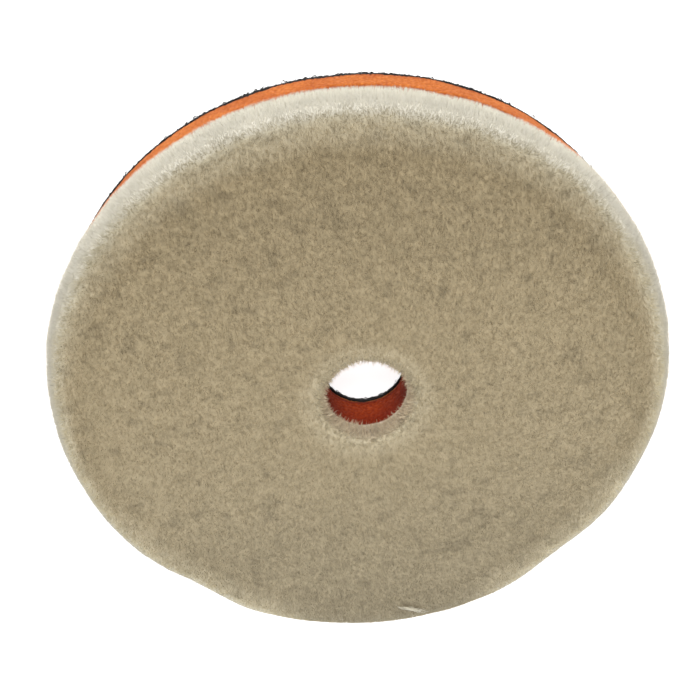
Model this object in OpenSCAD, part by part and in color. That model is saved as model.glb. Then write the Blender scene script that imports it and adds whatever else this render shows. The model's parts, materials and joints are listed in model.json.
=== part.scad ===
// Short-nap wool polishing pad on a foam interface, with a loop backing for a
// hook-faced sander plate. The pad lies loop side down: Z = 0 is the loop face,
// the Z axis runs through the centre hole, and the wool face is on top.
// All sizes are in millimetres.

/* [Pad] */
// Diameter over the wool pile
pad_d = 160; // [110:1:200]
// Diameter of the centre hole, punched through every layer
hole_d = 22; // [10:1:40]

/* [Wool face] */
// Height of the wool pile above its knitted skin
pile_h = 7; // [3:0.5:20]
// Radius of the pile's rounded outer edge
pile_edge_r = 6.5; // [1:0.5:15]
// Radius of the pile's rounded edge around the centre hole
pile_hole_edge_r = 3; // [0.5:0.5:8]
// How far the pile stands out past the foam all round
pile_overhang = 0.8; // [0.2:0.1:3]
// Thickness of the knitted skin that holds the pile
skin_t = 0.8; // [0.4:0.1:2]

/* [Foam interface] */
// Thickness of the foam disc
foam_t = 11; // [5:0.5:30]
// How much the foam's radius shrinks from the wool side to the loop side
foam_draft = 0.5; // [0:0.1:3]

/* [Loop backing] */
// Height of the nylon loops that the hooks catch
loop_h = 1.0; // [0.5:0.1:3]
// Thickness of the cloth that the loops are knitted into
cloth_t = 0.6; // [0.3:0.1:2]
// How far the loop backing's edge stays inside the foam's edge
backing_inset = 0.2; // [0:0.1:2]

/* [Bonding] */
// Thickness of each glue film
glue_t = 0.3; // [0.1:0.1:1]
// How far each glue film's outer edge stays inside the layers it joins
glue_inset = 0.4; // [0.1:0.1:2]

/* [Hidden] */

$fn = 128;
// Overshoot of every cut beyond the faces it breaks through
cut_past = 1;

// Diameters, from the wool side down
foam_face_d = pad_d - 2 * pile_overhang;
foam_back_d = foam_face_d - 2 * foam_draft;
backing_d = foam_back_d - 2 * backing_inset;

// Height of each layer's lower face, from the loop face up
cloth_z = loop_h;
back_glue_z = cloth_z + cloth_t;
foam_z = back_glue_z + glue_t;
face_glue_z = foam_z + foam_t;
skin_z = face_glue_z + glue_t;
pile_z = skin_z + skin_t;

// A round edge is never larger than the pile it is cut from
outer_round = min(pile_edge_r, pile_h);
inner_round = min(pile_hole_edge_r, pile_h);

// Flat ring from height z up, with the centre hole in it. It is a plain
// cylinder outside, or a slight cone where lower_d gives its lower diameter.
module layer(z, thickness, d, lower_d = undef) {
    translate([0, 0, z])
        difference() {
            cylinder(h = thickness, d1 = is_undef(lower_d) ? d : lower_d, d2 = d);
            translate([0, 0, -cut_past])
                cylinder(h = thickness + 2 * cut_past, d = hole_d);
        }
}

// Corner of a square that a round edge of radius r takes away
module corner_waste(r) {
    difference() {
        square(r + cut_past);
        circle(r = r);
    }
}

// Half section of the wool pile, standing on its skin
module pile_section() {
    difference() {
        translate([hole_d / 2, 0])
            square([(pad_d - hole_d) / 2, pile_h]);
        translate([pad_d / 2 - outer_round, pile_h - outer_round])
            corner_waste(outer_round);
        translate([hole_d / 2 + inner_round, pile_h - inner_round])
            mirror([1, 0])
                corner_waste(inner_round);
    }
}

// Nylon loops that grip the hooks of the sander plate
module loop_pile() {
    color("#1b1b1c")
        layer(0, loop_h, backing_d);
}

// Black cloth that carries the loops
module loop_base_cloth() {
    color("#262628")
        layer(cloth_z, cloth_t, backing_d);
}

// Glue between the loop cloth and the foam
module back_glue_film() {
    color("#c9a27a")
        layer(back_glue_z, glue_t, backing_d - 2 * glue_inset);
}

// Springy foam disc that lets the wool follow a curved panel
module foam_interface() {
    color("#de8346")
        layer(foam_z, foam_t, foam_face_d, lower_d = foam_back_d);
}

// Glue between the foam and the wool's skin
module face_glue_film() {
    color("#d8b79a")
        layer(face_glue_z, glue_t, foam_face_d - 2 * glue_inset);
}

// Knitted skin that the wool grows from
module wool_skin() {
    color("#cfc4a6")
        layer(skin_z, skin_t, foam_face_d);
}

// Short dense wool with rounded edges
module wool_pile() {
    color("#b3a684")
        translate([0, 0, pile_z])
            rotate_extrude()
                pile_section();
}

loop_pile();
loop_base_cloth();
back_glue_film();
foam_interface();
face_glue_film();
wool_skin();
wool_pile();
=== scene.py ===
"""Looks of the polishing pad: wool, foam, glue, loop backing, light and camera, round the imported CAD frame.

Lengths are in metres. The camera stands on the -Y side, which is the pad's near side. +Y is its far side.
"""

import json
import math

import bpy
import numpy as np
from mathutils import Matrix, Vector


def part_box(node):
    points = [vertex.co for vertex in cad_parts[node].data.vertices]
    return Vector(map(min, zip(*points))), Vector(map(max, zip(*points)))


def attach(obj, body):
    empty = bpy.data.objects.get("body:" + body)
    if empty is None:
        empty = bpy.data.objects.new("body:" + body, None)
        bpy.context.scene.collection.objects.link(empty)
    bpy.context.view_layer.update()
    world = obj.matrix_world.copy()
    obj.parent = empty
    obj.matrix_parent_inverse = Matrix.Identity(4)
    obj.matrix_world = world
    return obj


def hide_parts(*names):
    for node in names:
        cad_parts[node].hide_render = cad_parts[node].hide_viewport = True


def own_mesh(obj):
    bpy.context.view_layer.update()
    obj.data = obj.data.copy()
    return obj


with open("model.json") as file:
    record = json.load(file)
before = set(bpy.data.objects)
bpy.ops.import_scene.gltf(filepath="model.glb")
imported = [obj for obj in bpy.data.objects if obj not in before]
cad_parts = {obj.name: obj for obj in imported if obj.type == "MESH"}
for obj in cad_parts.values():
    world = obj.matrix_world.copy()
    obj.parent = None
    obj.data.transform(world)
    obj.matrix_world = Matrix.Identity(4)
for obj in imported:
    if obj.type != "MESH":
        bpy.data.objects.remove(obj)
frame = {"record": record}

MM = 0.001
TURN = 2 * math.pi
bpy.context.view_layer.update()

# ---------------------------------------------------------------- sizes, all from the frame


def layer_of(node):
    """(outer radius, bottom, top) of a round CAD node."""
    low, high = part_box(node)
    return (high.x - low.x) / 2, low.z, high.z


mounts = {m["name"]: m for m in frame["record"]["mounts"]}
HOLE_R = mounts["centre_hole"]["dims"]["r_mm"] * MM
PILE_R, PILE_BOTTOM, PILE_TOP = layer_of("wool_pile")
SKIN_R, SKIN_BOTTOM, SKIN_TOP = layer_of("wool_skin")
FOAM_R, FOAM_BOTTOM, FOAM_TOP = layer_of("foam_interface")
CLOTH_R, CLOTH_BOTTOM, CLOTH_TOP = layer_of("loop_base_cloth")
LOOP_R, LOOP_BOTTOM, LOOP_TOP = layer_of("loop_pile")

# ---------------------------------------------------------------- camera and light

CAMERA_AT = Vector((-0.0003, -0.1311, 0.2135))
CAMERA_AIM = Vector((0.0026, -0.0173, 0.0212))
CAMERA_ROLL = math.radians(174.9)
CAMERA_LENS = 47.1
AMBIENT = 0.33  # brightness of the sky as a light
BACKDROP = 0.96  # brightness of the sky behind the pad, so that a low view has a pale background
LIGHTS = (  # name, place, width and power in watts of each lamp, which all point at the pad
    ("key", (0.02, -1.6, 1.25), 1.0, 30.5),
    ("fill_left", (0.8, 0.1, 0.4), 0.6, 0.5),
    ("fill_right", (-0.8, 0.1, 0.4), 0.6, 0.9),
    ("top", (0.0, 0.35, 0.55), 0.5, 1.4),
)


def make_camera():
    """The camera at the photograph's angle, rolled so that the pad's near side is at the picture's top."""
    data = bpy.data.cameras.new("camera")
    data.lens = CAMERA_LENS
    data.sensor_width = 36
    data.clip_start = 0.005
    camera = bpy.data.objects.new("camera", data)
    look = (CAMERA_AIM - CAMERA_AT).to_track_quat("-Z", "Y").to_matrix().to_4x4()
    camera.matrix_world = Matrix.Translation(CAMERA_AT) @ look @ Matrix.Rotation(CAMERA_ROLL, 4, "Z")
    bpy.context.scene.collection.objects.link(camera)
    bpy.context.scene.camera = camera


def area_light(name, at, size, watts):
    """A round soft lamp that points at the pad."""
    data = bpy.data.lights.new(name, "AREA")
    data.shape = "DISK"
    data.size = size
    data.energy = watts
    lamp = bpy.data.objects.new(name, data)
    lamp.location = at
    lamp.rotation_mode = "QUATERNION"
    lamp.rotation_quaternion = (-Vector(at)).to_track_quat("-Z", "Y")
    bpy.context.scene.collection.objects.link(lamp)


def make_light():
    """Soft light from all round, with the key lamp on the near side, whose rim the photograph shows."""
    world = bpy.data.worlds.new("studio")
    world.use_nodes = True
    tree = world.node_tree
    sky = tree.nodes["Background"]
    sky.inputs["Color"].default_value = (1.0, 1.0, 1.0, 1)
    sky.inputs["Strength"].default_value = AMBIENT
    backdrop = tree.nodes.new("ShaderNodeBackground")
    backdrop.inputs["Color"].default_value = (BACKDROP, BACKDROP, BACKDROP, 1)
    seen = tree.nodes.new("ShaderNodeLightPath").outputs["Is Camera Ray"]
    join = tree.nodes.new("ShaderNodeMixShader")
    tree.links.new(seen, join.inputs["Fac"])
    tree.links.new(sky.outputs["Background"], join.inputs[1])
    tree.links.new(backdrop.outputs["Background"], join.inputs[2])
    tree.links.new(join.outputs["Shader"], tree.nodes["World Output"].inputs["Surface"])
    bpy.context.scene.world = world
    bpy.context.scene.view_settings.view_transform = "Standard"
    for name, at, size, watts in LIGHTS:
        area_light(name, at, size, watts)


# ---------------------------------------------------------------- noise


def hashed(lattice, seed):
    """A number from 0 to 1 for each whole-number lattice point. seed picks another set of numbers."""
    with np.errstate(over="ignore"):
        n = np.uint32(seed * 2654435761 % 2**32)
        for k, prime in enumerate((73856093, 19349663, 83492791)):
            n = (n ^ (lattice[..., k].astype(np.int64) * prime).astype(np.uint32)) * np.uint32(0x45D9F3B)
            n = n ^ (n >> np.uint32(15))
        n = (n ^ (n >> np.uint32(13))) * np.uint32(0xC2B2AE35)
        n = n ^ (n >> np.uint32(16))
    return n.astype(float) / 2**32


def noise(points, cell, seed):
    """Smooth noise from -1 to 1 at points, with features about cell across. seed picks its pattern."""
    at = points / cell
    base = np.floor(at)
    part = at - base
    part = part * part * (3 - 2 * part)
    total = np.zeros(len(points))
    for corner in range(8):
        step = np.array([(corner >> k) & 1 for k in range(3)])
        weight = np.prod(np.where(step, part, 1 - part), axis=1)
        total += weight * hashed(base + step, seed)
    return 2 * total - 1


def pits(across, along, cell, period, seed):
    """Distance, in cells, from each point of a wall to its nearest pit centre. across wraps after period."""
    count = max(3, round(period / cell))
    u = across / period * count
    v = along / cell
    base_u, base_v = np.floor(u), np.floor(v)
    best = np.full(len(u), 9.0)
    for du in (-1, 0, 1):
        for dv in (-1, 0, 1):
            cell_u, cell_v = base_u + du, base_v + dv
            spot = np.stack([cell_u % count, cell_v, np.zeros(len(u))], axis=1)
            gap_u = cell_u + hashed(spot, seed) - u
            gap_v = cell_v + hashed(spot, seed + 1) - v
            best = np.minimum(best, np.hypot(gap_u, gap_v))
    return best


def smooth(low, high, value):
    """0 where value is at low, 1 where it is at high, and an eased step between. low may be the larger."""
    t = np.clip((value - low) / (high - low), 0, 1)
    return t * t * (3 - 2 * t)


def lobe(angle, middle, reach):
    """1 at one place round the pad, in degrees, falling to 0 at reach degrees on either side of it."""
    apart = np.degrees(np.abs((angle - math.radians(middle) + math.pi) % TURN - math.pi))
    return smooth(reach, 1, apart)


def unit(vectors):
    """The vectors, each scaled to a length of 1."""
    return vectors / np.maximum(np.linalg.norm(vectors, axis=1, keepdims=True), 1e-12)


# ---------------------------------------------------------------- meshes


def mesh_of(name, points, faces):
    """A mesh from points and a list of face arrays, each with one row of corner numbers per face."""
    mesh = bpy.data.meshes.new(name)
    corners = np.concatenate([f.ravel() for f in faces]).astype(np.int32)
    sizes = np.concatenate([np.full(len(f), f.shape[1], np.int32) for f in faces])
    mesh.vertices.add(len(points))
    mesh.vertices.foreach_set("co", np.ascontiguousarray(points, np.float32).ravel())
    mesh.loops.add(len(corners))
    mesh.loops.foreach_set("vertex_index", corners)
    mesh.polygons.add(len(sizes))
    mesh.polygons.foreach_set("loop_start", np.concatenate([[0], np.cumsum(sizes)[:-1]]).astype(np.int32))
    mesh.polygons.foreach_set("use_smooth", np.full(len(sizes), True))
    mesh.update(calc_edges=True)
    mesh.validate()
    return mesh


def point_values(mesh, name, values):
    """Stores one number per point, for a material's Attribute node."""
    mesh.attributes.new(name, "FLOAT", "POINT").data.foreach_set("value", np.asarray(values, np.float32))


def piece(mesh, body, slot, material, *nodes):
    """A shown piece that rides on body and stands for the CAD nodes."""
    obj = bpy.data.objects.new(mesh.name, mesh)
    bpy.context.scene.collection.objects.link(obj)
    mesh.materials.append(material)
    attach(obj, body)
    if nodes:
        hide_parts(*nodes)
    return obj


def ring_faces(rows, columns):
    """Quads of a tube of rows of columns points, closed round and from the last row back to the first."""
    row, column = np.meshgrid(np.arange(rows), np.arange(columns), indexing="ij")
    row_up, column_on = (row + 1) % rows, (column + 1) % columns
    lower, upper = row * columns, row_up * columns
    quads = [lower + column, lower + column_on, upper + column_on, upper + column]
    return np.stack(quads, axis=-1).reshape(-1, 4)


def around(radius, height, columns):
    """Points of a turned shape, from each row's radius and height, and the angle of each point."""
    angle = np.arange(columns) * TURN / columns
    r, z, a = np.repeat(radius, columns), np.repeat(height, columns), np.tile(angle, len(radius))
    return np.stack([r * np.cos(a), r * np.sin(a), z], axis=1), a


def grown(points, angle, by):
    """Points moved outward from the Z axis."""
    out = np.stack([np.cos(angle), np.sin(angle), np.zeros(len(angle))], axis=1)
    return points + out * by[:, None]


# ---------------------------------------------------------------- materials


class Nodes:
    """A material's node tree, with short ways to add what the materials here share."""

    def __init__(self, name):
        self.material = bpy.data.materials.new(name)
        self.material.use_nodes = True
        self.tree = self.material.node_tree
        self.shader = self.tree.nodes["Principled BSDF"]

    def add(self, kind, **inputs):
        node = self.tree.nodes.new("ShaderNode" + kind)
        for name, value in inputs.items():
            self.feed(node.inputs[name.replace("_", " ")], value)
        return node

    def feed(self, socket, value):
        if isinstance(value, bpy.types.NodeSocket):
            self.tree.links.new(value, socket)
        else:
            socket.default_value = value

    def value(self, name):
        node = self.add("Attribute")
        node.attribute_name = name
        return node.outputs["Fac"]

    def noise(self, scale, detail=2.0, roughness=0.5):
        place = self.add("TexCoord").outputs["Object"]
        node = self.add("TexNoise", Vector=place, Scale=scale, Detail=detail, Roughness=roughness)
        return node.outputs["Fac"]

    def ramp(self, factor, *stops):
        """Colour along factor. Each stop is (position, colour)."""
        node = self.add("ValToRGB", Fac=factor)
        ramp = node.color_ramp
        while len(ramp.elements) < len(stops):
            ramp.elements.new(0.5)
        for element, (position, colour) in zip(ramp.elements, stops):
            element.position = position
            element.color = (*colour, 1)
        return node.outputs["Color"]

    def mix(self, factor, a, b, blend="MIX"):
        node = self.tree.nodes.new("ShaderNodeMix")
        node.data_type = "RGBA"
        node.blend_type = blend
        for name, value in (("Factor", factor), ("A", a), ("B", b)):
            socket = next(s for s in node.inputs if s.name == name and s.enabled)
            self.feed(socket, (*value, 1) if isinstance(value, tuple) and len(value) == 3 else value)
        return next(s for s in node.outputs if s.enabled)

    def maths(self, operation, *values):
        node = self.tree.nodes.new("ShaderNodeMath")
        node.operation = operation
        for socket, value in zip(node.inputs, values):
            self.feed(socket, value)
        return node.outputs[0]

    def bump(self, height, strength, distance):
        return self.add("Bump", Height=height, Strength=strength, Distance=distance).outputs["Normal"]

    def finish(self, colour, roughness, normal=None, sheen=0.0, sheen_tint=(1, 1, 1), specular=0.3):
        """Sets the shader. A roughness may come from nodes, and every other number is the same all over."""
        self.feed(self.shader.inputs["Base Color"], colour)
        self.feed(self.shader.inputs["Roughness"], roughness)
        if normal is not None:
            self.feed(self.shader.inputs["Normal"], normal)
        self.shader.inputs["Specular IOR Level"].default_value = specular
        self.shader.inputs["Sheen Weight"].default_value = sheen
        self.shader.inputs["Sheen Roughness"].default_value = 0.5
        self.shader.inputs["Sheen Tint"].default_value = (*sheen_tint, 1)
        return self.material


WOOL_ROOT_SHADE = (0.38, 0.30, 0.18)  # at the fibres' roots: painted shade deep in the pile
WOOL_FACE_SHADE_NEAR = (0.558, 0.455, 0.275)  # on the sheared face, at its near end: painted shade of the depths between the fibres, deepest at this end
WOOL_FACE_SHADE_FAR = (0.559, 0.506, 0.368)  # and at its far end, where the painted shade is lighter
WOOL_HONEY = (0.78, 0.69, 0.455)  # half way from the face's painted shade to the rim
WOOL_CREAM = (0.94, 0.91, 0.80)  # on the open rim
WOOL_BLUSH = (0.80, 0.56, 0.42)  # round the hole, where the foam's colour shows through


def wool_material():
    """Fibres are painted darker towards their roots, as painted shade deep in the pile. wool_facts and
    strand_mesh give the values that it reads.
    """
    n = Nodes("wool")
    facts = ("along", "unshaded", "tone_and_shade", "blush", "far_light")
    along, unshaded, tone_and_shade, blush, far_light = (n.value(name) for name in facts)
    # The face is painted with the shade of the depths between its fibres, deeper at its near end, and gives
    # way through honey to the rim's own colour.
    face = n.mix(far_light, WOOL_FACE_SHADE_NEAR, WOOL_FACE_SHADE_FAR)
    honey = n.mix(n.maths("MINIMUM", n.maths("MULTIPLY", unshaded, 2.0), 1.0), face, WOOL_HONEY)
    tip = n.mix(n.maths("MAXIMUM", n.maths("MULTIPLY_ADD", unshaded, 2.0, -1.0), 0.0), honey, WOOL_CREAM)
    tip = n.mix(blush, tip, WOOL_BLUSH)
    # The roots carry painted shade from deep in the pile, less of it where the fibres are unshaded.
    root = n.mix(n.maths("MINIMUM", n.maths("MULTIPLY", unshaded, 1.25), 0.92), WOOL_ROOT_SHADE, WOOL_CREAM)
    colour = n.mix(along, root, tip)
    patch = n.ramp(n.noise(260, 3, 0.6), (0.30, (0.95, 0.95, 0.94)), (0.70, (1.04, 1.04, 1.04)))
    colour = n.mix(1.0, colour, patch, "MULTIPLY")
    shade = n.ramp(tone_and_shade, (0.0, (0.66, 0.65, 0.64)), (0.5, (0.97, 0.965, 0.96)), (1.0, (1.12, 1.12, 1.13)))
    colour = n.mix(1.0, colour, shade, "MULTIPLY")
    return n.finish(colour, 0.9, sheen=0.25, sheen_tint=(1.0, 0.96, 0.88), specular=0.15)


def foam_material():
    """Open-cell foam: painted shade inside each pit, with paler struts and a slow change of orange."""
    n = Nodes("orange_foam")
    pit = n.value("pit")
    slow = n.ramp(n.noise(90, 2, 0.5), (0.35, (0.48, 0.120, 0.018)), (0.65, (0.58, 0.17, 0.028)))
    strut = n.ramp(n.noise(1300, 2, 0.6), (0.36, (0.86, 0.80, 0.68)), (0.66, (1.14, 1.24, 1.50)))
    colour = n.mix(1.0, slow, strut, "MULTIPLY")
    # Painted shade in the pits, near the foot by the cloth, in the bore and most of all at the bore's top.
    colour = n.mix(n.maths("MULTIPLY", pit, 0.7), colour, (0.33, 0.055, 0.010))
    colour = n.mix(n.value("foot"), colour, (0.62, 0.45, 0.50), "MULTIPLY")
    colour = n.mix(n.value("bore"), colour, (0.62, 0.27, 0.18), "MULTIPLY")
    colour = n.mix(n.value("bore_top_shade"), colour, (0.70, 0.55, 0.60), "MULTIPLY")
    rough = n.ramp(n.noise(900, 2, 0.5), (0.3, (0.78,) * 3), (0.7, (0.95,) * 3))
    return n.finish(colour, rough, n.bump(n.noise(2600, 2, 0.6), 0.5, 0.0002), sheen=0.04, specular=0.15)


def nylon_material(name, low, high, scale):
    """Black nylon with a faint grey catch of light on its yarns."""
    n = Nodes(name)
    colour = n.ramp(n.noise(scale, 2, 0.6), (0.35, low), (0.70, high))
    rough = n.ramp(n.noise(scale / 2, 1, 0.5), (0.3, (0.42,) * 3), (0.7, (0.62,) * 3))
    normal = n.bump(n.noise(scale * 2, 1, 0.5), 0.4, 0.0001)
    return n.finish(colour, rough, normal, specular=0.22)


def knit_material():
    """Knitted yarn of the skin that the wool grows from."""
    n = Nodes("knit_skin")
    colour = n.ramp(n.noise(1400, 2, 0.6), (0.3, (0.50, 0.42, 0.30)), (0.7, (0.80, 0.74, 0.60)))
    return n.finish(colour, 0.9, n.bump(n.noise(1800, 2, 0.6), 0.6, 0.0003), sheen=0.2, specular=0.15)


def glue_material():
    """Thin glue that takes on the foam's colour."""
    n = Nodes("glue_film")
    colour = n.ramp(n.noise(300, 2, 0.5), (0.3, (0.42, 0.11, 0.02)), (0.7, (0.54, 0.16, 0.03)))
    rough = n.ramp(n.noise(500, 1, 0.5), (0.3, (0.35,) * 3), (0.7, (0.55,) * 3))
    return n.finish(colour, rough, n.bump(n.noise(700, 2, 0.5), 0.3, 0.0002))


# ---------------------------------------------------------------- wool

FACE_STRANDS = 300_000
RIM_STRANDS = 96_000
HOLE_STRANDS = 3_500
FACE_PIECES = 5
RIM_PIECES = 3
FIBRE_WIDTH = 0.055 * MM  # least half width of a fibre
FIBRE_SPREAD = 0.02 * MM  # how much more the thickest has
RIM_ROUND = 7.2 * MM  # radius of the pile's rounded rim
HOLE_ROUND = 3.0 * MM  # radius of its rounded edge round the hole
OVERHANG = 1.0 * MM  # how far the pile hangs down over the foam's edge
FACE_NAP = 0.6 * MM  # how far the loose fibre ends stand over the underwool on the sheared face
RIM_NAP = 1.9 * MM  # the same on the open rim
HOLE_NAP = 0.3 * MM  # what the edge of the hole has beyond the face's nap
HOLE_LONGER = 1.2 * MM  # how much longer the longest fibre in the hole is
ROOT_DEPTH = 0.6 * MM  # how deep each fibre starts in the underwool
ARC_POINTS = 24  # points along each of the pile's two rounded edges
OFF_CENTRE = 2.0 * MM  # how far the hand-trimmed rim sits off the hole
OFF_TOWARD = math.radians(55)
OUTLINE_FULL = 0.4 * MM  # how much fuller the rim is all round
FLATS = (46, 130)  # degrees round the rim where a trimming cut left it flatter
FLAT_DEPTH = 1.6 * MM
FLAT_REACH = 15  # degrees from the middle of a flat to its end
BULGE_AT = 224  # degrees round the rim where it was left fuller
BULGE = 0.6 * MM
BULGE_REACH = 30
WISP_AT = 95  # degrees round the rim where a loose wisp of pale fibres lies
WISP_IN = 8.2 * MM  # how far in from the rim it lies
WISP_FIBRES = 70
WISP_TURN = math.radians(-28)  # how far its fibres are turned from the rim's own direction
HOLE_OFF = Vector((-0.3 * MM, -0.8 * MM, 0))  # how far the hole cut in the wool sits off the bore


def pile_profile():
    """Section of the pile, from inside the hole, over the face and down the rim, as radius and height."""
    quarter = np.linspace(0, math.pi / 2, ARC_POINTS)
    cos, sin = np.cos(quarter), np.sin(quarter)
    hole_arc = np.stack([HOLE_R + HOLE_ROUND * (1 - cos), PILE_TOP - HOLE_ROUND * (1 - sin)], axis=1)
    rim_arc = np.stack([PILE_R - RIM_ROUND * (1 - sin), PILE_TOP - RIM_ROUND * (1 - cos)], axis=1)
    lip = [[PILE_R - 0.1 * MM, SKIN_BOTTOM], [PILE_R - 0.6 * MM, SKIN_BOTTOM - OVERHANG]]
    start = [[HOLE_R + 0.1 * MM, SKIN_TOP]]
    return np.concatenate([start, hole_arc, rim_arc, lip])


def outline_shift(angle):
    """How far the hand-trimmed rim strays outward from CAD's circle at each angle."""
    ring = np.stack([np.cos(angle), np.sin(angle), np.zeros(len(angle))], axis=1)
    shift = OFF_CENTRE * np.cos(angle - OFF_TOWARD) + OUTLINE_FULL
    for flat in FLATS:
        shift -= FLAT_DEPTH * lobe(angle, flat, FLAT_REACH)
    shift += BULGE * lobe(angle, BULGE_AT, BULGE_REACH)
    return shift + (0.30 * noise(ring, 0.5, 11) + 0.17 * noise(ring, 0.08, 12)) * MM


def hole_shift(angle):
    """How far the edge of the hole cut in the wool strays outward from CAD's circle at each angle."""
    ring = np.stack([np.cos(angle), np.sin(angle), np.ones(len(angle))], axis=1)
    return (0.35 * noise(ring, 0.7, 13) + 0.25 * noise(ring, 0.2, 14)) * MM


def shaped(points, angle):
    """Points on the ideal pile, moved to the hand-trimmed one: an uneven rim and a gently uneven face."""
    radius = np.hypot(points[:, 0], points[:, 1])
    rim = smooth(PILE_R - 24 * MM, PILE_R - 4 * MM, radius)
    points = grown(points, angle, outline_shift(angle) * rim)
    hole = smooth(HOLE_R + 14 * MM, HOLE_R + 2 * MM, radius)
    points = grown(points + hole[:, None] * np.array(HOLE_OFF), angle, hole * hole_shift(angle))
    flat = np.stack([points[:, 0], points[:, 1], np.zeros(len(points))], axis=1)
    face = smooth(PILE_BOTTOM + 2 * MM, PILE_TOP, points[:, 2])
    points[:, 2] += face * (0.20 * noise(flat, 17 * MM, 21) + 0.06 * noise(flat, 5 * MM, 22)) * MM
    lip = smooth(PILE_BOTTOM + 3 * MM, PILE_BOTTOM, points[:, 2]) * rim
    points[:, 2] -= lip * (0.50 * noise(flat, 5 * MM, 23) + 0.4 * noise(flat, 2.0 * MM, 24)) * MM
    return points


def pile_points(count, rng, first, last):
    """Random points spread evenly over part of the pile's surface: place, outward normal and angle."""
    profile = pile_profile()[first:last]
    step = np.diff(profile, axis=0)
    length = np.linalg.norm(step, axis=1)
    area = length * (profile[:-1, 0] + profile[1:, 0])
    part = rng.choice(len(step), count, p=area / area.sum())
    share = rng.random(count)
    low, high = profile[part, 0], profile[part + 1, 0]
    radius = np.sqrt(low**2 + share * (high**2 - low**2))
    widening = np.where(high == low, 1, high - low)
    share = np.where(np.abs(high - low) > 1e-7, (radius - low) / widening, share)
    height = profile[part, 1] + share * step[part, 1]
    corner = np.stack([-step[:, 1], step[:, 0]], axis=1) / length[:, None]
    ends = np.concatenate([corner[:1], (corner[:-1] + corner[1:]) / 2, corner[-1:]])
    slope = ends[part] * (1 - share[:, None]) + ends[part + 1] * share[:, None]
    on_face = length[part] > 10 * MM
    slope = np.where(on_face[:, None], [0.0, 1.0], unit(slope))
    angle = rng.random(count) * TURN
    normal = np.stack([slope[:, 0] * np.cos(angle), slope[:, 0] * np.sin(angle), slope[:, 1]], axis=1)
    place = np.stack([radius * np.cos(angle), radius * np.sin(angle), height], axis=1)
    return place, normal, angle


def rim_unshaded(inward, near, side, far):
    """How far the face's painted shade has given way to the rim's own colour, this far inward from the rim.
    The change is painted to reach further in at the near and far ends, and to be weaker at the sides, as the
    light falls.
    """
    unshaded = (1 - 0.14 * side) * smooth((7.3 - 0.5 * near) * MM, 0.7 * MM, inward)
    reach = (9.0 + 5.0 * near + 4.0 * far) * MM
    tail = 0.06 + 0.20 * near + 0.16 * far
    return np.minimum(1, unshaded + tail * smooth(reach, 0.5 * reach, inward))


def hole_unshaded(radius):
    """The same round the hole, where the painted shade lifts only a little, in a painted lighter ring."""
    halo = 0.15 * smooth(HOLE_R + 8 * MM, HOLE_R + 3 * MM, radius)
    return halo + 0.22 * smooth(HOLE_R + 3.2 * MM, HOLE_R + 0.8 * MM, radius)


def wool_facts(place, normal, rng):
    """What the wool's material needs to know of each fibre, from where it stands on the ideal pile.

    far_light goes from 0 at the near end of the face to 1 at the far end, which is painted lighter. unshaded
    is 0 on the sheared face, painted with the shade of the depths between its fibres, and 1 on the open rim.
    tone_and_shade is about 0.5, and less where the fibre is darker, from random variation and from painted
    shade. blush is how much of the foam's colour shows.
    """
    count = len(place)
    radius = np.hypot(place[:, 0], place[:, 1])
    steep = (1 - np.clip(normal[:, 2], 0, 1)) * (radius > 2 * HOLE_R)
    inward = PILE_R - radius + 0.5 * MM * noise(place, 3 * MM, 52)

    toward = -place[:, 1] / radius
    near = np.maximum(toward, 0)
    side = smooth(0.8, 0.3, np.abs(toward))
    far = smooth(0.2, 0.5, -toward)
    shoulder = 1 - smooth(0.45, 0.8, steep)
    # back marks the far end of the rim, which gets the deepest painted shade and keeps less of its unshaded
    # colour.
    back = smooth(0.88, 0.985, -toward) * shoulder
    rim = rim_unshaded(inward, near, side, far) * (1 - 0.65 * back)
    halo = hole_unshaded(radius)

    # The face has a fine grain and slow patches, and painted shade in small hollows and towards its near and
    # far ends, which all fade on the rim.
    flat = place * np.array([1, 1, 0])
    shaded_hollow = smooth(0.45, 0.75, noise(flat, 2.6 * MM, 53)) * (1 - rim) * (1 - 4 * np.minimum(halo, 0.25))
    calm = 1 - 0.85 * rim
    tone_and_shade = 0.5 + calm * (0.12 * rng.normal(size=count) + 0.12 * noise(flat, 0.6 * MM, 54))
    tone_and_shade += 0.04 * calm * noise(flat, 3 * MM, 55) - 0.22 * shaded_hollow
    tone_and_shade -= 0.19 * smooth(0.15, 0.7, np.abs(place[:, 1]) / PILE_R) * (1 - rim)

    # The rim is shaded by how steep it is and by where it lies, most of all at the far end.
    outer = smooth(PILE_R - 26 * MM, PILE_R - 3 * MM, radius)
    tone_and_shade -= back * (0.85 * steep + 0.22 * outer)
    tone_and_shade -= steep * (0.27 + 0.25 * smooth(0.9, 0.2, toward) * shoulder) + 0.10 * rim * side
    tone_and_shade -= 0.26 * near * smooth(1.5 * MM, 4.0 * MM, inward) * smooth(7.6 * MM, 4.6 * MM, inward)
    tone_and_shade -= 0.18 * smooth(0.01, 0.12, steep) * smooth(0.65, 0.35, steep)

    # The edge of the hole has painted shade in the gaps between its tufts, and a painted lighter ring round
    # them.
    gaps = smooth(0.2, 0.6, noise(place, 0.7 * MM, 56))
    tone_and_shade -= 0.30 * gaps * smooth(HOLE_R + 3 * MM, HOLE_R + MM, radius)
    tone_and_shade += 0.06 * smooth(HOLE_R + 10 * MM, HOLE_R + 2 * MM, radius)
    return {
        "far_light": 0.5 + 0.5 * place[:, 1] / PILE_R,
        "unshaded": np.clip(np.maximum(rim, halo), 0, 1),
        "tone_and_shade": np.clip(tone_and_shade, 0, 1),
        "blush": 0.30 * smooth(HOLE_R + 1.2 * MM, HOLE_R, radius),
    }


def by_hole(radius):
    """1 within 1 mm of the hole, falling to 0 at 5 mm from it."""
    return smooth(HOLE_R + 5 * MM, HOLE_R + 1 * MM, radius)


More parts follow.
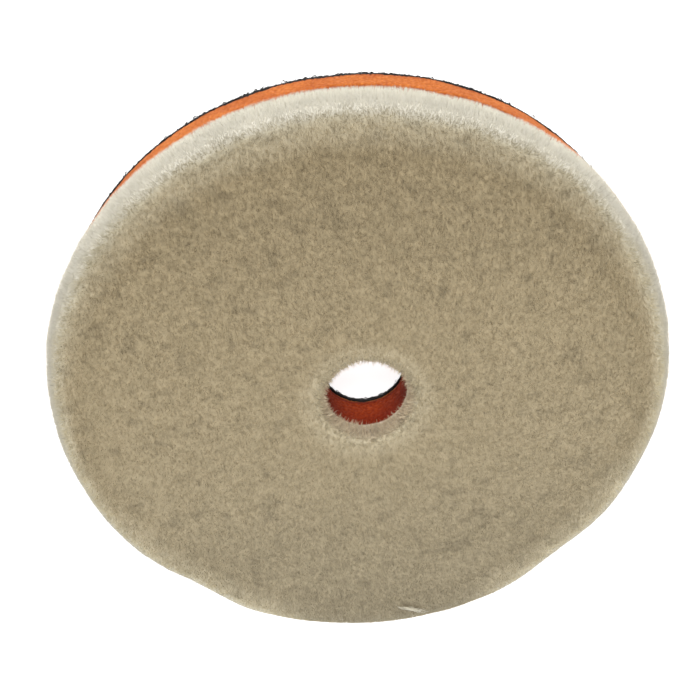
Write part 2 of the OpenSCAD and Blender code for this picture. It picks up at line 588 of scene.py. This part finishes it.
def nap_at(steep, at_hole):
    """How far the fibre ends stand over the underwool, where the pile is this steep and near the hole."""
    growth = smooth(0.14, 0.75, steep)
    return FACE_NAP + (RIM_NAP - FACE_NAP) * growth * (1 - at_hole) + HOLE_NAP * at_hole


def make_strands(place, normal, angle, rng, levels, extra):
    """Points of bent, tapering fibres: two at each level from the root up, and one at the tip.

    A fibre starts nearly upright in the underwool. It bends over along its comb, along its curl, which its
    neighbours share, and along its stray, which is its own. extra is the most that one is lengthened by.
    """
    count = len(place)
    steep = 1 - np.clip(normal[:, 2], 0, 1)
    radius = np.hypot(place[:, 0], place[:, 1])
    at_hole = by_hole(radius)
    rim = smooth(0.01, 0.25, steep) * (1 - at_hole)
    lie = rim * (1 + 1.3 * smooth(0.65, 0.25, steep))
    place = shaped(place, angle)
    curl = np.stack([noise(place, 0.45 * MM, 31 + k) for k in range(3)], axis=1)
    curl += 0.16 * np.stack([noise(place, 2.4 * MM, 41 + k) for k in range(3)], axis=1)
    stray = rng.normal(size=(count, 3))
    out = np.stack([np.cos(angle), np.sin(angle), np.zeros(count)], axis=1)
    down = np.array([0, 0, -1.0])
    slope = out * normal[:, 2:] + down * np.hypot(normal[:, 0], normal[:, 1])[:, None]
    comb = lie[:, None] * (0.75 * slope + 0.15 * out) + at_hole[:, None] * (0.05 * down - 0.25 * out)
    calm = (1 - 0.8 * smooth(PILE_R - 18 * MM, PILE_R - 7 * MM, radius))[:, None]
    start = unit(normal + 0.35 * calm * curl + 0.12 * stray + 0.3 * comb)
    end = unit(0.50 * normal + 0.85 * calm * curl + 0.28 * (0.4 + 0.6 * calm) * stray + comb)
    nap = nap_at(steep, at_hole)
    nap = nap * (1 + 0.15 * noise(place, 0.7 * MM, 51) + 0.14 * rng.normal(size=count))
    length = ROOT_DEPTH + 1.25 * nap + extra * rng.random(count)
    spine = [place - normal * (ROOT_DEPTH + nap)[:, None]]
    for level in range(levels):
        bend = (level + 0.5) / levels
        spine.append(spine[-1] + unit(start * (1 - bend) + end * bend) * (length / levels)[:, None])
    width = FIBRE_WIDTH + FIBRE_SPREAD * rng.random(count)
    facing = normal + 0.16 * rng.normal(size=(count, 3))
    side = unit(np.cross(unit(start + end), facing)) * width[:, None]
    taper = np.linspace(1.0, 0.75, levels)
    pairs = [spine[k] + sign * side * taper[k] for k in range(levels) for sign in (-1, 1)]
    return np.stack([*pairs, spine[-1]], axis=1)


def strand_mesh(name, points, facts, levels):
    """One mesh of many fibres. Each has a cell of its own in the UV map, so a bake can hold its colours."""
    count, per = points.shape[:2]
    first = np.arange(count)[:, None] * per
    faces = [first + 2 * k + np.array([0, 1, 3, 2]) for k in range(levels - 1)]
    faces.append(first + np.array([per - 3, per - 2, per - 1]))
    mesh = mesh_of(name, points.reshape(-1, 3), faces)
    for key, values in facts.items():
        point_values(mesh, key, np.repeat(values, per))
    rise = np.append(np.repeat(np.arange(levels) / levels, 2), 1.0)
    point_values(mesh, "along", np.tile(rise, count))
    cells = math.ceil(math.sqrt(count))
    corner_u = np.append(np.tile([0.1, 0.9], levels), 0.5)
    u = (np.arange(count)[:, None] % cells + corner_u) / cells
    v = (np.arange(count)[:, None] // cells + 0.05 + 0.9 * rise) / cells
    places = np.stack([u, v], axis=-1).reshape(-1, 2)
    corners = np.empty(len(mesh.loops), np.int32)
    mesh.loops.foreach_get("vertex_index", corners)
    mesh.uv_layers.new(name="OFBake").data.foreach_set("uv", places[corners].astype(np.float32).ravel())
    return mesh


def make_fibres(name, count, pieces, first, last, levels, seed, material, extra=0.0):
    """Fibres between two points of the pile's section, shared between pieces that are sectors of the pad."""
    rng = np.random.default_rng(seed)
    place, normal, angle = pile_points(count, rng, first, last)
    order = np.argsort(angle)
    place, normal, angle = place[order], normal[order], angle[order]
    facts = wool_facts(place, normal, rng)
    points = make_strands(place, normal, angle, rng, levels, extra)
    for k, some in enumerate(np.array_split(np.arange(count), pieces)):
        picked = {key: values[some] for key, values in facts.items()}
        mesh = strand_mesh(f"{name}_{k + 1}" if pieces > 1 else name, points[some], picked, levels)
        piece(mesh, "wool_face", "wool", material)


def make_wool():
    """All of the wool: the fibres of the face, the rim and the hole, the wisp and the underwool."""
    material = wool_material()
    rim_start = ARC_POINTS + 6  # where the rim's longer fibres take over, a little way down its arc
    make_fibres("wool_face_fibres", FACE_STRANDS, FACE_PIECES, 0, rim_start + 1, 2, 7, material)
    make_fibres("wool_rim_fibres", RIM_STRANDS, RIM_PIECES, rim_start, None, 3, 8, material)
    make_fibres("wool_hole_fibres", HOLE_STRANDS, 1, 0, ARC_POINTS // 2, 3, 10, material, HOLE_LONGER)
    make_wisp(material)
    make_wool_core(material)


def make_wisp(material):
    """A small pale wisp of loose fibres, lying along the rim."""
    rng = np.random.default_rng(12)
    count, levels = WISP_FIBRES, 3
    middle = math.radians(WISP_AT)
    angle = middle + rng.normal(0, 1.6 * MM / PILE_R, count)
    radius = PILE_R * (1 + 0.4 * (angle - middle)) - WISP_IN + rng.normal(0, 0.32 * MM, count)
    over_arc = np.clip(radius - PILE_R + RIM_ROUND, 0, RIM_ROUND)
    height = PILE_TOP - (RIM_ROUND - np.sqrt(RIM_ROUND**2 - over_arc**2))
    spot = shaped(np.stack([radius * np.cos(angle), radius * np.sin(angle), height], axis=1), angle)
    spot[:, 2] += 0.30 * MM
    turned = angle + WISP_TURN
    along = unit(np.stack([np.sin(turned), -np.cos(turned), 0.1 * rng.normal(size=count)], axis=1))
    along = unit(along + 0.10 * rng.normal(size=(count, 3)))
    length = rng.uniform(1.5 * MM, 4.0 * MM, count)[:, None]
    spine = []
    for share in (0.0, 0.35, 0.7, 1.0):
        droop = 0.4 * MM * (2 * share - 1) ** 2
        spine.append(spot + along * length * (share - 0.5) - [0, 0, droop])
    side = unit(np.cross(along, [0, 0.4, 1.0])) * (0.07 * MM)
    pairs = [p for point in spine[:-1] for p in (point - side, point + side)]
    pale = {"far_light": 0.5, "unshaded": 0.75, "tone_and_shade": 0.7, "blush": 0.0}
    facts = {key: np.full(count, value) for key, value in pale.items()}
    mesh = strand_mesh("wool_wisp", np.stack([*pairs, spine[-1]], axis=1), facts, levels)
    piece(mesh, "wool_face", "wool", material)


def make_wool_core(material):
    """The dense underwool that the loose fibre ends stand in."""
    columns, face_rows = 640, 90
    profile = pile_profile()[:-1]
    step = np.gradient(profile, axis=0)
    normal = unit(np.stack([-step[:, 1], step[:, 0]], axis=1))
    split = ARC_POINTS
    face = np.linspace(profile[split], profile[split + 1], face_rows + 2)[1:-1]
    rows = np.concatenate([profile[: split + 1], face, profile[split + 1 :]])
    normals = np.concatenate([normal[: split + 1], np.zeros((face_rows, 2)), normal[split + 1 :]])
    normals[split - 1 : split + face_rows + 2] = (0.0, 1.0)
    steep = (1 - np.clip(normals[:, 1], 0, 1)) * (rows[:, 0] > 2 * HOLE_R)
    inset = nap_at(steep, by_hole(rows[:, 0]))
    ideal, _ = around(rows[:, 0], rows[:, 1], columns)
    rows = rows - normals * inset[:, None]
    rows[:, 0] = np.maximum(rows[:, 0], HOLE_R + 0.2 * MM)
    rows[:, 1] = np.maximum(rows[:, 1], PILE_BOTTOM)
    points, angle = around(rows[:, 0], rows[:, 1], columns)
    points = shaped(points, angle)
    points[:, 2] += 0.12 * MM * noise(points, 0.8 * MM, 61)
    points[:, 2] = np.maximum(points[:, 2], PILE_BOTTOM)
    mesh = mesh_of("wool_core", points, [ring_faces(len(rows), columns)])
    spread = np.repeat(normals, columns, axis=0)
    outward = np.stack([spread[:, 0] * np.cos(angle), spread[:, 0] * np.sin(angle), spread[:, 1]], axis=1)
    for key, values in wool_facts(ideal, outward, np.random.default_rng(9)).items():
        point_values(mesh, key, values)
    # The underwool is painted part way between the roots' painted shade and the tips' colour.
    point_values(mesh, "along", np.full(len(points), 0.45))
    piece(mesh, "wool_face", "wool", material, "wool_pile")


# ---------------------------------------------------------------- skin, foam and glue

FOAM_FULL = 1.0 * MM  # how much further out the foam's rim lies on the +X side
FOAM_SHY = 0.9 * MM  # how much it falls short where FOAM_SHY_AT points
FOAM_SHY_AT = 198  # degrees round the rim
FOAM_SHY_REACH = 50
FOAM_PITCH = 0.33 * MM  # distance between the points of a foam wall
FOAM_CELLS = ((0.75 * MM, 0.42), (1.3 * MM, 0.30))  # size of the open cells, and how much of each is a pit
FOAM_PIT = 0.26 * MM  # depth of a pit
FOAM_FOOT_SHADE = 2.4 * MM  # how far up from the cloth the foam has painted shade


def foam_trim(angle):
    """How far the rim of the foam and backing strays outward from CAD's circle at each angle."""
    return FOAM_FULL * np.maximum(np.cos(angle), 0) - FOAM_SHY * lobe(angle, FOAM_SHY_AT, FOAM_SHY_REACH)


def slab(name, outer, inner, bottom, top, columns, rows, rough, seed, trim=foam_trim):
    """Ring with bulging, rough outer and inner edges. trim gives how far its rim strays at each angle."""
    edge = np.linspace(0, 1, rows)
    thick = top - bottom
    heights = bottom + thick * edge
    bulge = 0.25 * thick * np.sin(edge * math.pi)
    radius = np.concatenate([outer + bulge - 0.2 * thick, (inner - bulge + 0.1 * thick)[::-1]])
    points, angle = around(radius, np.concatenate([heights, heights[::-1]]), columns)
    shift = rough * (noise(points, 0.5 * MM, seed) + 0.6 * noise(points, 2.2 * MM, seed + 1))
    sign = np.where(np.arange(len(points)) < len(points) // 2, 1, -1)
    points = grown(points, angle, shift * sign + trim(angle) * (sign > 0))
    return mesh_of(name, points, [ring_faces(2 * rows, columns)])


def skin_trim(angle):
    """The skin is cut with its pile, so its rim follows the pile's, but it stays over the foam."""
    return np.minimum(outline_shift(angle) - 0.2 * MM, foam_trim(angle))


def make_skin():
    """The knitted skin, which lies flat on the foam."""
    look = {"columns": 1400, "rows": 5, "rough": 0.12 * MM, "seed": 71, "trim": skin_trim}
    mesh = slab("knitted_skin", SKIN_R, HOLE_R, SKIN_BOTTOM, SKIN_TOP, **look)
    skin = piece(mesh, "wool_face", "knit_skin", knit_material(), "wool_skin")


def foam_wall(radius_low, radius_high, outward, seed):
    """Rows of a foam wall with its open cells, from bottom to top: points and how deep in a pit each is.

    outward is 1 for the outer wall and -1 for the bore's.
    """
    rows = round((FOAM_TOP - FOAM_BOTTOM) / FOAM_PITCH) + 1
    columns = round(TURN * radius_high / FOAM_PITCH)
    height = np.linspace(FOAM_BOTTOM, FOAM_TOP, rows)
    radius = np.linspace(radius_low, radius_high, rows)
    edge = np.minimum(height - FOAM_BOTTOM, FOAM_TOP - height)
    radius = radius - outward * 0.35 * MM * (1 - smooth(0, 0.8 * MM, edge))
    points, angle = around(radius, height, columns)
    depth = np.zeros(len(points))
    for k, (cell, share) in enumerate(FOAM_CELLS):
        gap = pits(angle * radius_high, points[:, 2], cell, TURN * radius_high, seed + 10 * k)
        depth = np.maximum(depth, smooth(share, share * 0.35, gap))
    inner_rows = np.repeat(smooth(0, 0.5 * MM, edge), columns)
    wave = 0.10 * noise(points, 2.5 * MM, seed + 5) + 0.16 * noise(points, 11 * MM, seed + 6)
    move = wave * MM - FOAM_PIT * depth * inner_rows
    if outward > 0:
        move = move + foam_trim(angle)
    return grown(points, angle, outward * move), depth, rows, columns


def make_foam():
    """The foam disc: two porous walls and two hidden flat faces that join them."""
    material = foam_material()
    low_r = CLOTH_R + 0.2 * MM
    outer, outer_pit, rows, columns = foam_wall(low_r, FOAM_R, 1, 81)
    inner, inner_pit, _, inner_columns = foam_wall(HOLE_R, HOLE_R, -1, 91)
    walls = [open_faces(rows, columns), open_faces(rows, inner_columns)[:, ::-1] + len(outer)]
    top = bridge(len(outer) - columns, columns, len(outer) + len(inner) - inner_columns, inner_columns)
    bottom = bridge(0, columns, len(outer), inner_columns)[:, ::-1]
    points = np.concatenate([outer, inner])
    mesh = mesh_of("foam_disc", points, [*walls, top, bottom])
    # These values say where the foam is painted with shade: in its pits, near its foot, in the bore and
    # towards the bore's top.
    point_values(mesh, "pit", np.concatenate([outer_pit, inner_pit]))
    in_bore = np.arange(len(points)) >= len(outer)
    point_values(mesh, "bore", in_bore)
    point_values(mesh, "foot", smooth(FOAM_BOTTOM + FOAM_FOOT_SHADE, FOAM_BOTTOM, points[:, 2]))
    point_values(mesh, "bore_top_shade", in_bore * smooth(FOAM_BOTTOM + 3 * MM, FOAM_TOP, points[:, 2]))
    foam = piece(mesh, "backing", "orange_foam", material, "foam_interface")
    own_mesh(foam)


def open_faces(rows, columns):
    """Quads of a tube that is open at both ends."""
    return ring_faces(rows, columns)[: (rows - 1) * columns]


def bridge(outer_first, outer_count, inner_first, inner_count):
    """Triangles that join an outer ring of points to an inner ring with fewer points."""
    here = np.arange(outer_count)
    on = (here + 1) % outer_count
    near = (here * inner_count) // outer_count
    fans = np.stack([outer_first + here, outer_first + on, inner_first + near], axis=1)
    turns = np.flatnonzero(near != near[on])
    ahead = on[turns]
    steps = np.stack([outer_first + ahead, inner_first + near[ahead], inner_first + near[turns]], axis=1)
    return np.concatenate([fans, steps])


FILM_SHY = 0.5 * MM  # how far a glue film's rim stays inside its CAD disc
FILM_HOLE = 0.45 * MM  # how far its hole is wider than the bore


def make_glue():
    """The two films that bond the foam to the wool and to the loop backing."""
    material = glue_material()
    look = {"columns": 720, "rows": 3, "rough": 0.1 * MM, "seed": 111}
    for name, node, body in (
        ("top_bond_film", "face_glue_film", "wool_face"),
        ("back_bond_film", "back_glue_film", "backing"),
    ):
        radius, bottom, top = layer_of(node)
        mesh = slab(name, radius - FILM_SHY, HOLE_R + FILM_HOLE, bottom, top, **look)
        piece(mesh, body, "glue_film", material, node)


# ---------------------------------------------------------------- loop backing


def cloth_trim(angle):
    """The cloth backing is cut a little fuller than the foam, most of all at its sides."""
    return foam_trim(angle) + (0.10 + 0.40 * np.abs(np.cos(angle))) * MM


LOOPS = 14_000  # loops spread all over the cloth
EDGE_LOOPS = 5_500  # further loops along the rim and the hole
FRAY = 6_000  # cut yarn ends along the rim and the hole
LOOP_POINTS = 6  # points along each loop
YARN_WIDTH = 0.11 * MM  # half width of a yarn


def ribbon_mesh(name, centre, side):
    """Flat ribbons along rows of centre points. Each reaches side to either side of its centre."""
    count, length = centre.shape[:2]
    points = np.stack([centre - side, centre + side], axis=2).reshape(-1, 3)
    first = np.arange(count)[:, None, None] * 2 * length
    step = np.arange(length - 1)[None, :, None] * 2
    quads = (first + step + np.array([0, 1, 3, 2])).reshape(-1, 4)
    return mesh_of(name, points, [quads])


def make_loops():
    """Nylon loops under the cloth, leaning every way, and the material that they share with the fray."""
    rng = np.random.default_rng(17)
    count = LOOPS + EDGE_LOOPS
    spread = np.sqrt(rng.uniform((HOLE_R + 0.5 * MM) ** 2, (LOOP_R - 0.5 * MM) ** 2, count))
    inside = rng.random(count) < 0.16
    from_edge = rng.uniform(0.4 * MM, 1.1 * MM, count)
    on_edge = np.where(inside, HOLE_R + from_edge, LOOP_R - from_edge)
    scattered = np.arange(count) < LOOPS
    radius = np.where(scattered, spread, on_edge)
    angle = rng.random(count) * TURN
    foot = np.stack([radius * np.cos(angle), radius * np.sin(angle), np.full(count, LOOP_TOP)], axis=1)
    foot = grown(foot, angle, cloth_trim(angle) * smooth(HOLE_R, LOOP_R, radius))
    any_way = rng.random(count) * TURN
    along_edge = angle + math.pi / 2 + rng.normal(0, 0.5, count)
    heading = np.where(scattered, any_way, along_edge)
    along = np.stack([np.cos(heading), np.sin(heading), np.zeros(count)], axis=1)
    tilt = rng.normal(0, 0.35, count)
    across = np.stack([-along[:, 1], along[:, 0], np.zeros(count)], axis=1)
    span = rng.uniform(0.45, 0.75, count)[:, None, None] * MM
    drop = rng.uniform(0.80, 0.97, count)[:, None, None] * (LOOP_TOP - LOOP_BOTTOM)
    turn = np.linspace(-0.15, math.pi + 0.15, LOOP_POINTS)[None, :, None]
    lean = np.array([0, 0, -1.0]) + across * tilt[:, None]
    centre = foot[:, None] + along[:, None] * span * np.cos(turn)
    centre = centre + lean[:, None] * drop * np.clip(np.sin(turn), -0.2, 1)
    centre[..., 2] = np.maximum(centre[..., 2], LOOP_BOTTOM + 0.02 * MM)
    side = np.repeat((across * YARN_WIDTH)[:, None], LOOP_POINTS, axis=1)
    mesh = ribbon_mesh("nylon_loops", centre, side)
    material = nylon_material("loop_nylon", (0.003, 0.003, 0.003), (0.016, 0.015, 0.016), 1800)
    return piece(mesh, "backing", "loop_nylon", material, "loop_pile"), material


def make_fray(material):
    """Cut yarn ends and half loops that stick out of the die-cut rim and into the hole."""
    rng = np.random.default_rng(19)
    inside = rng.random(FRAY) < 0.18
    angle = rng.random(FRAY) * TURN
    edge = np.where(inside, HOLE_R + 0.30 * MM, CLOTH_R - 0.15 * MM + cloth_trim(angle))
    cos, sin = np.cos(angle), np.sin(angle)
    out = np.stack([cos, sin, np.zeros(FRAY)], axis=1) * np.where(inside, -1, 1)[:, None]
    foot = np.stack([edge * cos, edge * sin, rng.uniform(0.15 * MM, CLOTH_TOP, FRAY)], axis=1)
    clump = smooth(-0.2, 0.8, noise(foot * np.array([1, 1, 0]), 2.0 * MM, 23))
    reach = (0.12 + (0.20 + 0.35 * inside) * clump * rng.random(FRAY)) * MM
    swing = np.stack([-out[:, 1], out[:, 0], np.zeros(FRAY)], axis=1) * rng.normal(0, 0.6, FRAY)[:, None]
    lift = np.array([0, 0, 1.0]) * rng.normal(0, 0.25, FRAY)[:, None]
    heading = unit(out + swing + lift)
    share = np.linspace(0, 1, 4)[None, :, None]
    curl = np.array([0, 0, 1.0]) * rng.normal(0, 0.5, FRAY)[:, None]
    path = heading[:, None] * share + 0.4 * curl[:, None] * share**2
    centre = foot[:, None] + path * reach[:, None, None]
    centre[..., 2] = np.clip(centre[..., 2], 0.05 * MM, CLOTH_TOP + 0.2 * MM)
    side = unit(np.cross(heading, rng.normal(size=(FRAY, 3))))[:, None] * YARN_WIDTH * (1 - 0.6 * share)
    return piece(ribbon_mesh("frayed_yarn_ends", centre, side), "backing", "loop_nylon", material)


def make_backing():
    """The loop cloth, with its loops, their matted roots and the fray of its cut edges."""
    look = {"columns": 1500, "rows": 4, "rough": 0.15 * MM, "seed": 101, "trim": cloth_trim}
    mesh = slab("loop_cloth", CLOTH_R, HOLE_R, CLOTH_BOTTOM, CLOTH_TOP, **look)
    material = nylon_material("loop_cloth", (0.003, 0.003, 0.003), (0.014, 0.013, 0.014), 1200)
    cloth = piece(mesh, "backing", "loop_cloth", material, "loop_base_cloth")
    loops, nylon = make_loops()
    fray = make_fray(nylon)
    bed_r, bed_hole, bed_low = LOOP_R - 0.2 * MM, HOLE_R + 0.3 * MM, LOOP_TOP * 0.25
    look = {"columns": 1200, "rows": 4, "rough": 0.22 * MM, "seed": 121, "trim": cloth_trim}
    bed = slab("loop_roots", bed_r, bed_hole, bed_low, LOOP_TOP, **look)
    roots = piece(bed, "backing", "loop_nylon", nylon)


# ---------------------------------------------------------------- floor


def make_floor():
    """A plain light table under the pad."""
    half = 4.0
    corners = np.array([[-half, -half, 0], [half, -half, 0], [half, half, 0], [-half, half, 0]], float)
    mesh = mesh_of("floor", corners, [np.array([[0, 1, 2, 3]])])
    n = Nodes("floor")
    colour = n.ramp(n.noise(3, 2, 0.5), (0.4, (0.80, 0.80, 0.80)), (0.6, (0.82, 0.82, 0.82)))
    n.shader.inputs["Emission Color"].default_value = (1.0, 1.0, 1.0, 1)
    n.shader.inputs["Emission Strength"].default_value = 0.88
    mesh.materials.append(n.finish(colour, 0.8, specular=0.1))
    floor = bpy.data.objects.new("floor", mesh)
    bpy.context.scene.collection.objects.link(floor)


make_camera()
make_light()
make_floor()
make_backing()
make_foam()
make_glue()
make_skin()
make_wool()
